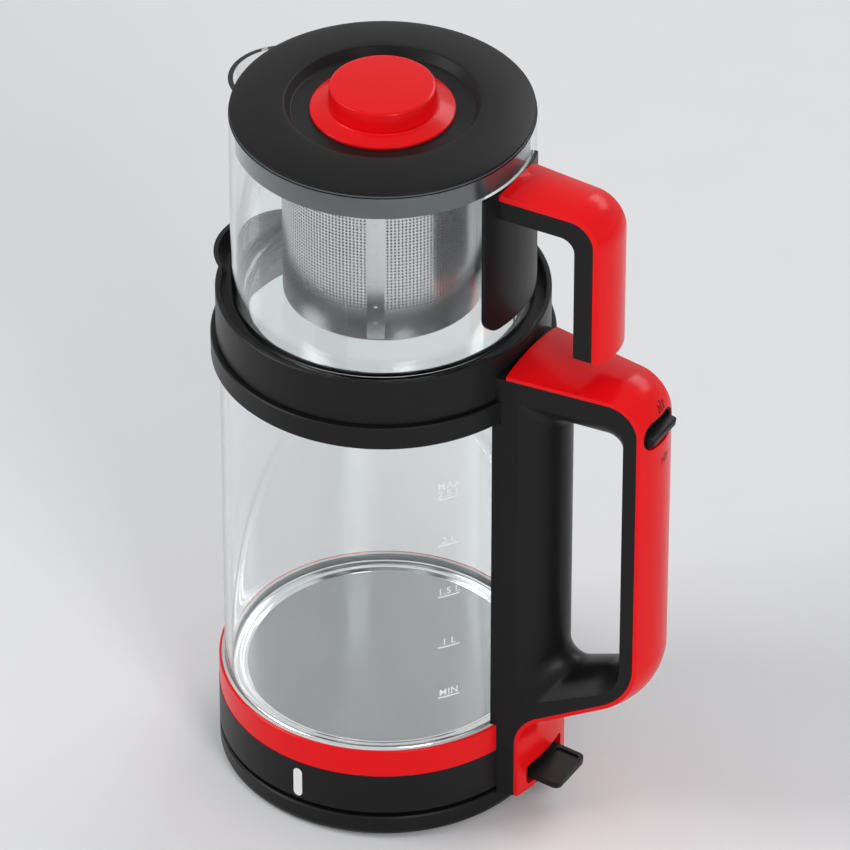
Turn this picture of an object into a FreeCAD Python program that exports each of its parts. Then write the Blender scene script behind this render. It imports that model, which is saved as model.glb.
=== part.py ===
import FreeCAD, Part
import math
import os
from FreeCAD import Vector

# Electric tea maker: a glass kettle on a round power base, with a glass teapot and infuser on top.
# Millimetres. Origin on the kettle's axis at the height of the table, +Z up, handles along +X.

# Fits
lift_gap = 0.3
swivel_gap = 0.3
glass_fit = 0.1
switch_gap = 0.4
pin_fit = 0.05

# Power base
foot_stand = 1.0
foot_pad_radius = 6.5
foot_pad_inset = 1.0
foot_ring_inset = 12.5
centre_pad_radius = 16.0
base_top_z = 12.7
base_edge_round = 4.5
base_top_chamfer = 0.8
base_wall = 2.4
base_plate_thick = 2.2
base_screw_inset = 28.5
base_boss_radius = 4.0

# Connector between base and kettle
plug_radius = 14.0
plug_height = 14.3
plug_wall = 2.0
plug_flange_radius = 20.0
plug_flange_thick = 2.0
centre_pin_radius = 2.0
ring_contact_radius = 8.0
contact_wall = 1.0
socket_wall = 4.9
socket_roof = 4.0
socket_lift = 1.0
socket_head_room = 3.0

# Cord bush in the base's rear wall
cord_bore_radius = 2.6
cord_bush_wall = 0.8
cord_bush_flange = 1.0
cord_bush_length = 7.0

# Foot of the kettle
foot_height = 24.6
foot_step = 0.2
foot_wall = 2.6
foot_chamfer = 3.0
foot_lip = 2.2
foot_cover_thick = 1.8
cover_boss_wall = 2.0
cover_boss_height = 6.5
cover_screw_inset = 19.0
indicator_width = 4.6
indicator_height = 16.0
indicator_proud = 0.3
indicator_z = 12.6
board_gap = 1.2
board_thick = 1.6

# Trim ring, heater plate and seal
trim_height = 14.8
trim_wall = 2.7
trim_flange_thick = 3.8
trim_flange_width = 6.0
seal_thick = 3.2
plate_thick = 1.2
plate_bead_height = 2.2
plate_bead_width = 5.2
plate_above_seal = 4.6
spreader_inset = 13.0
spreader_thick = 2.4
element_ring_radius = 45.0
element_tube_radius = 3.8
element_gap_angle = 40.0
element_pin_radius = 2.6
element_pin_length = 6.0
thermostat_radius = 9.0
thermostat_height = 8.0
thermostat_offset = 22.0

# Kettle glass and collar
glass_radius = 76.0
glass_wall = 3.0
glass_window = 176.8
skirt_wall = 3.9
skirt_height = 12.3
groove_height = 1.0
collar_wall = 1.4
collar_height = 23.5
collar_lip_wall = 2.5
glass_into_collar = 6.5
collar_seal_thick = 2.0
shelf_reach = 0.5
shelf_thick = 4.0
seat_width = 8.1
seat_thick = 3.0
spout_reach = 8.5
spout_half_angle = 21.0
spout_wall = 2.2
spout_root_shrink = 9.5
spout_floor = 4.0

# Kettle handle, seen from the side
handle_drop = 11.5
handle_depth = 58.6
nose_depth = 5.3
handle_top_round = 15.0
handle_heel_round = 30.0
handle_throat_round = 22.0
handle_heel_z = 89.6
handle_arm_slope = 0.569
handle_root_half_width = 22.3
handle_taper = 0.13
handle_shell_edge = 2.0
handle_shell_crown = 5.0
shell_joint_gap = 1.5

# Finger opening of the kettle handle: rim on the flanks, waist in the middle
grip_thick = 6.7
top_arm_thick = 9.7
strip_depth = 4.0
rim_heel_rise = 1.5
rim_heel_slope = 0.497
strip_bulge = 16.0
top_bulge = 15.0
grip_bulge = 4.7
heel_bulge = 11.0
rim_corner_round = 4.0
rim_top_round = 8.0
rim_heel_round = 22.0
rim_throat_round = 8.0
waist_corner_round = 6.0
waist_heel_round = 14.0

# Function rocker at the top of the grip
rocker_drop = 16.0
rocker_slot_width = 23.0
rocker_slot_height = 12.4
rocker_wall = 1.2
rocker_depth = 9.2
rocker_barrel_radius = 3.8
rocker_pin_radius = 1.0
rocker_paddle_height = 4.6
rocker_proud = 1.8
rocker_rest_tilt = 9.0
rocker_block_size = 9.0

# Power lever under the handle
lever_width = 26.0
lever_thick = 3.2
lever_reach = 19.2
lever_pivot_inset = 7.0
lever_z = 8.4
lever_tail = 4.0
lever_rim = 2.2
lever_dish = 1.0
lever_slope = 4.0
lever_pin_radius = 1.5
lever_barrel_wall = 1.4
lever_slot_half = 17.0
lever_slot_low = 3.0
lever_slot_high = 14.6
lever_slot_round = 3.0
lever_ear_thick = 2.6
lever_switch_length = 16.0
lever_switch_width = 8.0
lever_switch_height = 10.0
housing_screw_radius = 1.6
housing_screw_spread = 20.0
housing_screw_z = 19.5

# Teapot
teapot_radius = 70.1
teapot_wall = 2.4
teapot_height = 103.6
teapot_floor = 3.0
teapot_corner = 7.0
teapot_spout_reach = 8.0
teapot_spout_half_angle = 18.0
teapot_spout_shrink = 8.3
teapot_spout_height = 27.0

# Teapot handle
pot_plate_thick = 1.8
pot_plate_half_angle = 19.0
pot_plate_low = 17.0
pot_plate_drop = 12.0
pot_plate_round = 9.0
pot_handle_drop = 15.6
pot_handle_depth = 47.5
pot_handle_low = 13.7
pot_arm_thick = 9.8
pot_grip_thick = 9.4
pot_outer_round = 12.0
pot_inner_round = 7.0
pot_root_half_width = 15.2
pot_handle_taper = 0.055
pot_shell_edge = 3.0
pot_shell_crown = 5.6
pot_screw_radius = 2.0
pot_screw_length = 14.0

# Infuser basket
basket_radius = 46.3
basket_wall = 0.8
basket_floor_z = 8.7
basket_floor_thick = 1.5
basket_seam_width = 7.0
carrier_flange_thick = 2.2
carrier_drop = 12.1
carrier_wall = 2.4
carrier_lip_thick = 0.8
carrier_gap = 0.5

# Lid and knob
lid_overhang = 0.4
lid_edge_thick = 0.9
lid_dome = 2.9
lid_rim_width = 25.1
lid_recess_depth = 4.2
lid_recess_slope = 2.9
lid_skin = 2.1
lid_skirt_depth = 8.0
lid_skirt_wall = 1.9
knob_flange_radius = 33.2
knob_flange_edge = 1.1
knob_flange_rise = 3.6
knob_radius = 25.1
knob_waist_radius = 23.6
knob_height = 9.8
knob_edge = 1.3
knob_screw_radius = 2.0

# Heights and radii that follow from the sizes above
foot_z = base_top_z + lift_gap
trim_radius = glass_radius + glass_fit + trim_wall
base_radius = trim_radius + foot_step
skirt_radius = glass_radius + glass_fit + skirt_wall
collar_radius = glass_radius + glass_fit + collar_wall
trim_flange_inner = glass_radius - trim_flange_width
foot_ring_radius = base_radius - base_edge_round - foot_ring_inset
base_screw_ring = base_radius - base_edge_round - base_screw_inset
cover_screw_ring = base_radius - cover_screw_inset
foot_top_z = foot_z + foot_height
trim_top_z = foot_top_z + trim_height
seal_z = foot_top_z + trim_flange_thick
glass_z = seal_z + seal_thick
glass_inner = glass_radius - glass_wall
spreader_radius = glass_inner - spreader_inset
shelf_inner_radius = glass_inner - shelf_reach
seat_opening_radius = teapot_radius - seat_width
plate_top_z = glass_z + plate_above_seal
skirt_z = trim_top_z + glass_window
skirt_top_z = skirt_z + skirt_height
collar_z = skirt_top_z + groove_height
rim_z = collar_z + collar_height
glass_top_z = collar_z + glass_into_collar
shelf_z = glass_top_z + collar_seal_thick + shelf_thick
seat_z = shelf_z + seat_thick
teapot_z = seat_z + lift_gap
teapot_rim_z = teapot_z + teapot_height
teapot_inner = teapot_radius - teapot_wall
handle_z = rim_z - handle_drop
handle_nose_x = base_radius + nose_depth
handle_reach = handle_nose_x + handle_depth
strip_rim_x = base_radius + strip_depth
handle_root_x = strip_rim_x
handle_shell_start = collar_radius + shell_joint_gap
rim_heel_z = handle_heel_z + rim_heel_rise
lever_tip_x = handle_nose_x + lever_reach
lever_pivot_x = base_radius - lever_pivot_inset
pot_handle_z = teapot_rim_z - pot_handle_drop
pot_handle_reach = teapot_radius + pot_handle_depth
carrier_radius = teapot_inner - carrier_gap
carrier_lip_z = teapot_rim_z + lift_gap
carrier_top_z = carrier_lip_z + carrier_lip_thick
carrier_z = teapot_rim_z - carrier_drop
lid_z = carrier_top_z + lift_gap
plug_top_z = base_top_z + plug_height
socket_bore = plug_radius + switch_gap
socket_radius = socket_bore + socket_wall
socket_z = foot_z + socket_lift
socket_top_z = plug_top_z + socket_head_room + socket_roof


def revolve(profile):
    """Solid of revolution about Z from (radius, height) corners."""
    corners = [Vector(r, 0, z) for r, z in profile]
    face = Part.Face(Part.makePolygon(corners + corners[:1]))
    return face.revolve(Vector(0, 0, 0), Vector(0, 0, 1), 360)


def tube(outer, inner, low, high):
    return revolve([(inner, low), (outer, low), (outer, high), (inner, high)])


def cylinder(radius, low, high, x=0, y=0):
    return Part.makeCylinder(radius, high - low, Vector(x, y, low))


def box(x, y, z):
    """Box from three (low, high) pairs."""
    size = [pair[1] - pair[0] for pair in (x, y, z)]
    return Part.makeBox(size[0], size[1], size[2], Vector(x[0], y[0], z[0]))


def corner_arc(before, corner, after, radius):
    """Start, middle and end of the arc that rounds a corner between two straight sides."""
    to_before = (before - corner).normalize()
    to_after = (after - corner).normalize()
    half = math.acos(max(-1.0, min(1.0, to_before.dot(to_after)))) / 2
    reach = radius / math.tan(half)
    bisector = (to_before + to_after).normalize()
    centre = corner + bisector * (radius / math.sin(half))
    return corner + to_before * reach, centre - bisector * radius, corner + to_after * reach


def rounded_wire(corners, place):
    """Closed wire through (u, v, radius) corners, set in space by place(u, v)."""
    flat = [Vector(u, v, 0) for u, v, _ in corners]
    runs = []
    for i, (_, _, radius) in enumerate(corners):
        if radius:
            runs.append(corner_arc(flat[i - 1], flat[i], flat[(i + 1) % len(flat)], radius))
        else:
            runs.append((flat[i],))
    edges = []
    for i, run in enumerate(runs):
        points = [place(p.x, p.y) for p in run]
        if len(points) == 3:
            edges.append(Part.Arc(*points).toShape())
        start = runs[(i + 1) % len(runs)][0]
        edges.append(Part.makeLine(points[-1], place(start.x, start.y)))
    return Part.Wire(edges)


def side_wire(corners, side, half_width):
    """Outline in the side view, laid on a flank whose half width depends on x."""
    return rounded_wire(corners, lambda x, z: Vector(x, side * half_width(x), z))


def flanked_solid(corners, half_width):
    """Solid between the two flanks."""
    wires = [side_wire(corners, side, half_width) for side in (-1, 1)]
    return Part.makeLoft(wires, True, True)


def crowned_solid(flank_corners, middle_corners, half_width):
    """Solid whose outline swells or narrows smoothly from the flanks to the middle."""
    wires = [side_wire(flank_corners, -1, half_width)]
    wires.append(side_wire(middle_corners, 0, half_width))
    wires.append(side_wire(flank_corners, 1, half_width))
    return Part.makeLoft(wires, True, False)


def joined(shapes):
    result = shapes[0]
    for shape in shapes[1:]:
        result = result.fuse(shape)
    return result.removeSplitter()


def around(count, radius, start=0.0):
    """Evenly spaced points on a circle."""
    angles = [math.radians(start + 360.0 * i / count) for i in range(count)]
    return [(radius * math.cos(a), radius * math.sin(a)) for a in angles]


def screw(x, y, head_z, tip_z, shaft_radius):
    """Pan-head screw along Z with its head at head_z."""
    up = 1 if tip_z > head_z else -1
    head_height = shaft_radius * 0.8
    low, high = sorted((head_z, head_z + up * head_height))
    head = cylinder(shaft_radius * 2, low, high, x, y)
    low, high = sorted((head_z, tip_z))
    return joined([head, cylinder(shaft_radius, low, high, x, y)])


# Power base
base_plate_top = foot_stand + base_plate_thick
base_inner_top = base_top_z - base_wall
base_inner_radius = base_radius - base_wall
base_rim_radius = base_radius - base_edge_round
cord_z = (base_plate_top + base_inner_top) / 2
cord_bush_radius = cord_bore_radius + cord_bush_wall
base_screw_radius = 1.5
base_screw_spots = around(3, base_screw_ring, 30)


def cord_hole(radius, inner_y, outer_y):
    return Part.makeCylinder(radius, outer_y - inner_y, Vector(0, inner_y, cord_z), Vector(0, 1, 0))


def base_shell():
    corners = [
        (plug_radius, base_inner_top), (base_inner_radius, base_inner_top),
        (base_inner_radius, base_plate_top + base_wall), (base_rim_radius, base_plate_top),
        (base_rim_radius, foot_stand), (base_radius, foot_stand + base_edge_round),
        (base_radius, base_top_z - base_top_chamfer), (base_radius - base_top_chamfer, base_top_z),
        (plug_radius, base_top_z)]
    points = [Vector(r, 0, z) for r, z in corners]
    turn = base_edge_round * math.sin(math.pi / 4)
    middle = Vector(base_rim_radius + turn, 0, foot_stand + base_edge_round - turn)
    edges = [Part.makeLine(a, b) for a, b in zip(points, points[1:] + points[:1])]
    edges[4] = Part.Arc(points[4], middle, points[5]).toShape()
    shell = Part.Face(Part.Wire(edges)).revolve(Vector(0, 0, 0), Vector(0, 0, 1), 360)
    for x, y in base_screw_spots:
        boss = cylinder(base_boss_radius, base_plate_top, base_inner_top, x, y)
        shell = shell.fuse(boss.cut(cylinder(base_screw_radius, foot_stand, base_inner_top, x, y)))
    return shell.cut(cord_hole(cord_bush_radius, 0.5 * base_radius, base_radius + 1))


def base_plate():
    plate = cylinder(base_rim_radius, foot_stand, base_plate_top)
    for pad in base_feet().Solids:
        plate = plate.cut(pad)
    for x, y in base_screw_spots:
        plate = plate.cut(screw(x, y, foot_stand, base_plate_top, base_screw_radius))
    return plate


def base_feet():
    """Four rubber pads near the edge and one under the connector, let into the plate."""
    top = foot_stand + foot_pad_inset
    pads = [cylinder(foot_pad_radius, 0, top, x, y) for x, y in around(4, foot_ring_radius, 45)]
    return Part.makeCompound(pads + [cylinder(centre_pad_radius, 0, top)])


def base_screws():
    tip = base_inner_top - 1.0
    return Part.makeCompound([screw(x, y, foot_stand, tip, base_screw_radius) for x, y in base_screw_spots])


def base_connector():
    flange_z = base_inner_top - plug_flange_thick
    return revolve([
        (centre_pin_radius, flange_z), (plug_flange_radius, flange_z), (plug_flange_radius, base_inner_top),
        (plug_radius, base_inner_top), (plug_radius, plug_top_z), (plug_radius - plug_wall, plug_top_z),
        (plug_radius - plug_wall, base_top_z), (centre_pin_radius, base_top_z)])


def base_contacts():
    pin = cylinder(centre_pin_radius, base_inner_top - plug_flange_thick, plug_top_z - 3 * contact_wall)
    ring = tube(ring_contact_radius, ring_contact_radius - contact_wall, base_top_z, plug_top_z - 4 * contact_wall)
    return Part.makeCompound([pin, ring])


def cord_bush():
    bush = cord_hole(cord_bush_radius, base_radius - cord_bush_length, base_radius)
    bush = bush.fuse(cord_hole(cord_bush_radius + cord_bush_flange, base_radius, base_radius + cord_bush_flange))
    return bush.cut(cord_hole(cord_bore_radius, 0.5 * base_radius, base_radius + 2 * cord_bush_flange))


# Kettle side of the connector
def coupler_socket():
    roof_z = socket_top_z - socket_roof
    return revolve([
        (socket_bore, socket_z), (socket_radius, socket_z), (socket_radius, socket_top_z),
        (0, socket_top_z), (0, roof_z), (socket_bore, roof_z)])


def coupler_contacts():
    roof_z = socket_top_z - socket_roof
    low = base_top_z + 4 * contact_wall
    sleeve_radius = centre_pin_radius + switch_gap
    sleeve = tube(sleeve_radius + contact_wall, sleeve_radius, low, roof_z)
    ring_radius = ring_contact_radius + switch_gap
    return Part.makeCompound([sleeve, tube(ring_radius + contact_wall, ring_radius, low, roof_z)])


# Foot of the kettle
foot_inner = base_radius - foot_wall
foot_lip_inner = foot_inner - foot_lip
lip_top_z = foot_z + foot_chamfer
cover_bore = socket_radius + swivel_gap
cover_boss_radius = cover_bore + cover_boss_wall
cover_top_z = lip_top_z + foot_cover_thick
cover_spots = around(3, cover_screw_ring, 60)
cover_screw_radius = 1.5
lever_pivot_z = foot_z + lever_z


def lever_opening(low_x, high_x, half_width):
    """Slot that the power lever passes through, rounded at its corners."""
    low = foot_z + lever_slot_low
    high = foot_z + lever_slot_high
    corners = [(-half_width, low, lever_slot_round), (half_width, low, lever_slot_round),
               (half_width, high, lever_slot_round), (-half_width, high, lever_slot_round)]
    wire = rounded_wire(corners, lambda y, z: Vector(low_x, y, z))
    return Part.Face(wire).extrude(Vector(high_x - low_x, 0, 0))


def indicator_bar(inner, outer, width, height):
    """Upright bar with round ends, on the side of the foot that faces -Y."""
    centre_z = foot_z + indicator_z
    half = height / 2
    end = width / 2
    corners = [(-end, centre_z - half, end * 0.999), (end, centre_z - half, end * 0.999),
               (end, centre_z + half, end * 0.999), (-end, centre_z + half, end * 0.999)]
    wire = rounded_wire(corners, lambda x, z: Vector(x, -outer, z))
    return Part.Face(wire).extrude(Vector(0, outer - inner, 0))


def foot_housing():
    shell = revolve([
        (foot_lip_inner, foot_z), (base_radius - foot_chamfer, foot_z), (base_radius, lip_top_z),
        (base_radius, foot_top_z), (foot_inner, foot_top_z), (foot_inner, lip_top_z), (foot_lip_inner, lip_top_z)])
    shell = shell.cut(lever_opening(0.5 * base_radius, base_radius + 1, lever_slot_half))
    return shell.cut(indicator_bar(0.5 * base_radius, base_radius + 1, indicator_width, indicator_height)).cut(
        housing_screw_holes())


def foot_cover():
    cover = revolve([
        (cover_bore, foot_z), (foot_lip_inner, foot_z), (foot_lip_inner, lip_top_z), (foot_inner, lip_top_z),
        (foot_inner, cover_top_z), (cover_boss_radius, cover_top_z),
        (cover_boss_radius, cover_top_z + cover_boss_height), (cover_bore, cover_top_z + cover_boss_height)])
    for x, y in cover_spots:
        cover = cover.cut(screw(x, y, foot_z, cover_top_z, cover_screw_radius))
    return cover


def cover_screws():
    return Part.makeCompound([screw(x, y, foot_z, foot_top_z, cover_screw_radius) for x, y in cover_spots])


def cover_posts():
    """Screw posts that hang from the trim ring's flange."""
    posts = [cylinder(base_boss_radius, cover_top_z, foot_top_z, x, y) for x, y in cover_spots]
    holes = [cylinder(cover_screw_radius, cover_top_z, foot_top_z, x, y) for x, y in cover_spots]
    return [post.cut(hole) for post, hole in zip(posts, holes)]


def indicator_lens():
    bar = indicator_bar(0.5 * foot_inner, base_radius + 1, indicator_width, indicator_height)
    return bar.common(tube(base_radius + indicator_proud, foot_inner, foot_z, foot_top_z))


def indicator_board():
    """Small circuit board with a lamp on it, standing on the foot's cover behind the lens."""
    half = indicator_width / 2 + 2
    board_y = -math.sqrt(foot_inner ** 2 - half ** 2) + board_gap
    top = foot_z + indicator_z + indicator_height / 2 + 1
    board = box((-half, half), (board_y, board_y + board_thick), (cover_top_z, top))
    lamp_z = (cover_top_z + top) / 2
    lamp = box((-1.5, 1.5), (board_y - board_gap, board_y), (lamp_z - 3, lamp_z + 3))
    return joined([board, lamp])


# Trim ring, heater and seal
def trim_ring():
    bore = glass_radius + glass_fit
    round_edge = 0.6
    ring = revolve([
        (trim_flange_inner, foot_top_z), (trim_radius, foot_top_z), (trim_radius, trim_top_z - round_edge),
        (trim_radius - round_edge, trim_top_z), (bore, trim_top_z), (bore, seal_z), (trim_flange_inner, seal_z)])
    ears = []
    for (x, y), post in zip(cover_spots, cover_posts()):
        reach = trim_flange_inner + 2
        arm = box((0, reach), (-base_boss_radius, base_boss_radius), (foot_top_z, seal_z))
        arm.rotate(Vector(0, 0, 0), Vector(0, 0, 1), math.degrees(math.atan2(y, x)))
        arm = arm.cut(cylinder(cover_screw_ring - base_boss_radius, 0, rim_z))
        ears += [arm, post]
    return joined([ring] + ears)


def plate_seal():
    return tube(glass_radius, trim_flange_inner, seal_z, glass_z)


def heater_plate():
    """Dished steel plate with a raised bead at the glass and a skirt that stands on the seal."""
    outer = glass_inner - lift_gap
    under_z = plate_top_z - plate_thick
    bead_top = plate_top_z + plate_bead_height
    bead_inner = outer - plate_bead_width
    return revolve([
        (0, under_z), (bead_inner - plate_bead_height, under_z),
        (bead_inner + plate_thick / 2, bead_top - plate_thick), (outer - plate_thick, bead_top - plate_thick),
        (outer - plate_thick, glass_z), (outer, glass_z), (outer, bead_top - plate_thick / 2),
        (outer - plate_thick / 2, bead_top), (bead_inner, bead_top),
        (bead_inner - plate_bead_height, plate_top_z), (0, plate_top_z)])


def heat_spreader():
    top = plate_top_z - plate_thick
    return cylinder(spreader_radius, top - spreader_thick, top)


def heating_element():
    """Tubular element bent to an open ring, with a terminal pin down from each end."""
    centre_z = plate_top_z - plate_thick - spreader_thick - element_tube_radius
    sweep = 360 - element_gap_angle
    circle = Part.makeCircle(element_tube_radius, Vector(element_ring_radius, 0, centre_z), Vector(0, 1, 0))
    ring = Part.Face(Part.Wire(circle)).revolve(Vector(0, 0, 0), Vector(0, 0, 1), sweep)
    ring.rotate(Vector(0, 0, 0), Vector(0, 0, 1), element_gap_angle / 2)
    parts = [ring]
    for side in (-1, 1):
        angle = math.radians(side * (element_gap_angle / 2 + 4))
        x = element_ring_radius * math.cos(angle)
        y = element_ring_radius * math.sin(angle)
        parts.append(cylinder(element_pin_radius, centre_z - element_tube_radius - element_pin_length, centre_z, x, y))
    return joined(parts)


def thermostat():
    top = plate_top_z - plate_thick - spreader_thick
    body = cylinder(thermostat_radius, top - thermostat_height, top, 0, thermostat_offset)
    tabs = []
    for side in (-1, 1):
        x = side * thermostat_radius * 0.5
        low = top - thermostat_height - 5
        tabs.append(box((x - 1.5, x + 1.5), (thermostat_offset - 0.4, thermostat_offset + 0.4), (low, top - 2)))
    return joined([body] + tabs)


def glass_body():
    return tube(glass_radius, glass_inner, glass_z, glass_top_z)


# Collar that carries the teapot
def spout_cone(radius, reach, half_angle, shrink, low_z, high_z, wall):
    """Cone that makes a pouring lip; its top circle meets the rim at the half angle."""
    turn = math.radians(half_angle)
    half_chord = radius * math.sin(turn)
    rise = reach + radius * (1 - math.cos(turn))
    lip_radius = (half_chord ** 2 + rise ** 2) / (2 * rise)
    centre_x = -(radius + reach - lip_radius)
    cone = Part.makeCone(lip_radius - shrink - wall, lip_radius - wall, high_z - low_z, Vector(centre_x, 0, low_z))
    return cone


def collar_skirt():
    bore = glass_radius + glass_fit
    edge = 1.2
    step_radius = (bore + collar_radius) / 2
    return revolve([
        (bore, skirt_z), (skirt_radius - edge, skirt_z), (skirt_radius, skirt_z + edge),
        (skirt_radius, skirt_top_z - edge / 2), (skirt_radius - edge / 2, skirt_top_z),
        (step_radius, skirt_top_z), (step_radius, collar_z), (bore, collar_z)])


def collar_ring():
    bore = glass_radius + glass_fit
    lip_inner = collar_radius - collar_lip_wall
    under_shelf = shelf_z - shelf_thick
    edge = 0.5
    ring = revolve([
        (bore, collar_z), (collar_radius, collar_z), (collar_radius, rim_z - edge),
        (collar_radius - edge, rim_z), (lip_inner + edge, rim_z), (lip_inner, rim_z - edge),
        (lip_inner, shelf_z), (shelf_inner_radius, shelf_z), (shelf_inner_radius, under_shelf), (bore, under_shelf)])
    spout_z = collar_z + edge
    sizes = (collar_radius, spout_reach, spout_half_angle, spout_root_shrink)
    outside = spout_cone(*sizes, spout_z, rim_z, 0)
    keep = box((-2 * base_radius, 0), (-base_radius, base_radius), (0, 2 * rim_z))
    outside = outside.common(keep).cut(cylinder(collar_radius - edge, 0, 2 * rim_z))
    inside = spout_cone(*sizes, spout_z, rim_z, spout_wall)
    channel = inside.common(box((-2 * base_radius, 0), (-base_radius, base_radius), (seat_z, 2 * rim_z)))
    return joined([ring, outside]).cut(channel)


def collar_seal():
    return tube(glass_radius, shelf_inner_radius, glass_top_z, shelf_z - shelf_thick)


def teapot_seat():
    seat_outer = collar_radius - collar_lip_wall
    edge = 1.0
    seat = revolve([
        (seat_opening_radius, shelf_z - shelf_thick), (seat_opening_radius + 1.6, shelf_z - shelf_thick),
        (seat_opening_radius + 1.6, shelf_z), (seat_outer, shelf_z), (seat_outer, seat_z),
        (seat_opening_radius + edge, seat_z), (seat_opening_radius, seat_z - edge)])
    return seat


# Kettle handle
def handle_width(x):
    return handle_root_half_width + handle_taper * (handle_root_x - x)


def handle_outline(grow):
    """Side view of the handle, grown outward by a layer's thickness."""
    stretch = math.hypot(1, handle_arm_slope)
    heel_x = handle_reach + grow
    heel_z = handle_heel_z + handle_arm_slope * grow - grow * stretch
    nose_x = handle_nose_x + grow
    nose_z = heel_z - handle_arm_slope * (heel_x - nose_x)
    inner_x = 0.6 * base_radius
    return [(inner_x, foot_z, 0), (nose_x, foot_z, 0), (nose_x, nose_z, handle_throat_round - grow),
            (heel_x, heel_z, handle_heel_round + grow), (heel_x, handle_z + grow, handle_top_round + grow),
            (inner_x, handle_z + grow, 0)]


def finger_outline(shift, swell):
    """Opening of the handle; shift moves its sides out past the flanks, swell draws the waist in."""
    left = strip_rim_x - shift + swell * strip_bulge
    right = handle_reach - grip_thick + shift - swell * grip_bulge
    top = handle_z - top_arm_thick + shift - swell * top_bulge
    low = rim_heel_z - shift + swell * (heel_bulge - 2)
    low_left = rim_heel_z - rim_heel_slope * (handle_reach - grip_thick - strip_rim_x) - shift + swell * heel_bulge
    low_left += swell * rim_heel_slope * strip_bulge
    heel = rim_heel_round + swell * (waist_heel_round - rim_heel_round)
    corner = rim_corner_round + swell * (waist_corner_round - rim_corner_round)
    return [(left, low_left, rim_throat_round), (right, low, heel), (right, top, rim_top_round), (left, top, corner)]


def finger_opening():
    past = handle_shell_edge
    ratio = past / handle_root_half_width
    rim = finger_outline(ratio * strip_bulge, 0)
    return crowned_solid(rim, finger_outline(0, 1), lambda x: handle_width(x) + past)


def kettle_envelope():
    """Outside of the kettle's body, which the handle is fitted to."""
    bore = glass_radius
    return revolve([
        (0, 0), (base_radius, 0), (base_radius, foot_top_z), (trim_radius, foot_top_z), (trim_radius, trim_top_z),
        (bore, trim_top_z), (bore, skirt_z), (skirt_radius, skirt_z), (skirt_radius, skirt_top_z),
        (collar_radius, skirt_top_z), (collar_radius, 2 * rim_z), (0, 2 * rim_z)])


def rocker_outline(grow):
    """Slot across the grip, round at both ends, seen along X."""
    half_width = rocker_slot_width / 2 + grow
    half_height = rocker_slot_height / 2 + grow
    centre_z = handle_z - rocker_drop
    round_end = half_height * 0.95
    return [(-half_width, centre_z - half_height, round_end), (half_width, centre_z - half_height, round_end),
            (half_width, centre_z + half_height, round_end), (-half_width, centre_z + half_height, round_end)]


def rocker_slot(low_x, high_x, grow):
    wire = rounded_wire(rocker_outline(grow), lambda y, z: Vector(low_x, y, z))
    return Part.Face(wire).extrude(Vector(high_x - low_x, 0, 0))


rocker_front_x = handle_reach + handle_shell_edge
rocker_back_x = rocker_front_x - rocker_depth
rocker_pin_x = rocker_front_x - rocker_depth / 2
rocker_pin_z = handle_z - rocker_drop
rocker_block_x = rocker_back_x - rocker_wall - rocker_block_size / 2
rocker_block_z = rocker_pin_z + 2.0
housing_screw_angles = [side * housing_screw_spread / 2 for side in (-1, 1)]


def housing_screw(inner, outer, radius):
    """Pair of screws or holes that run outward through the foot's wall into the handle."""
    parts = []
    for angle in housing_screw_angles:
        turn = math.radians(angle)
        out = Vector(math.cos(turn), math.sin(turn), 0)
        start = out * inner + Vector(0, 0, foot_z + housing_screw_z)
        parts.append(Part.makeCylinder(radius, outer - inner, start, out))
    return parts


def housing_screw_holes():
    return Part.makeCompound(housing_screw(0.5 * base_radius, base_radius + 1, housing_screw_radius))


def housing_screws():
    head_start = foot_inner - housing_screw_radius * 1.6
    heads = housing_screw(head_start, foot_inner - 0.2, housing_screw_radius * 2)
    shafts = housing_screw(head_start, base_radius + 4.0, housing_screw_radius)
    return Part.makeCompound([joined([head, shaft]) for head, shaft in zip(heads, shafts)])


def handle_core():
    core = flanked_solid(handle_outline(0), handle_width)
    core = core.cut(finger_opening()).cut(kettle_envelope())
    core = core.cut(rocker_slot(rocker_back_x - rocker_wall, handle_reach + 10, rocker_wall))
    core = core.cut(rocker_contacts())
    core = core.cut(lever_opening(0.5 * base_radius, handle_reach, lever_slot_half))
    for hole in housing_screw(0.5 * base_radius, base_radius + 4.0, housing_screw_radius):
        core = core.cut(hole)
    return core


def handle_shell():
    """Coloured cover on the outside of the handle, thin at the flanks and crowned in the middle."""
    flank = handle_outline(handle_shell_edge)
    middle = handle_outline(handle_shell_crown)
    cover = crowned_solid(flank, middle, handle_width)
    cover = cover.cut(flanked_solid(handle_outline(0), lambda x: handle_width(x) + 5))
    cover = cover.cut(box((0, handle_shell_start), (-base_radius, base_radius), (0, 2 * rim_z)))
    cover = cover.cut(rocker_slot(rocker_back_x, handle_reach + 20, rocker_wall))
    return cover.cut(lever_opening(0.5 * base_radius, handle_reach, lever_slot_half - lever_rim / 2))


def rocker_contacts():
    """Switch block moulded in behind the rocker."""
    half = rocker_block_size / 2
    x = (rocker_block_x - half, rocker_block_x + half)
    return box(x, (-half, half), (rocker_block_z - half, rocker_block_z + half))


def rocker_housing():
    outside = rocker_slot(rocker_back_x - rocker_wall, rocker_front_x, rocker_wall)
    inside = rocker_slot(rocker_back_x, rocker_front_x + 10, 0)
    housing = outside.cut(inside)
    hole = Part.makeCylinder(rocker_pin_radius, 2 * rocker_slot_width,
                             Vector(rocker_pin_x, -rocker_slot_width, rocker_pin_z), Vector(0, 1, 0))
    return housing.cut(hole.common(outside))


def rocker_pin():
    half = rocker_slot_width / 2 + rocker_wall * 0.5
    start = Vector(rocker_pin_x, -half, rocker_pin_z)
    return Part.makeCylinder(rocker_pin_radius, 2 * half, start, Vector(0, 1, 0))


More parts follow.
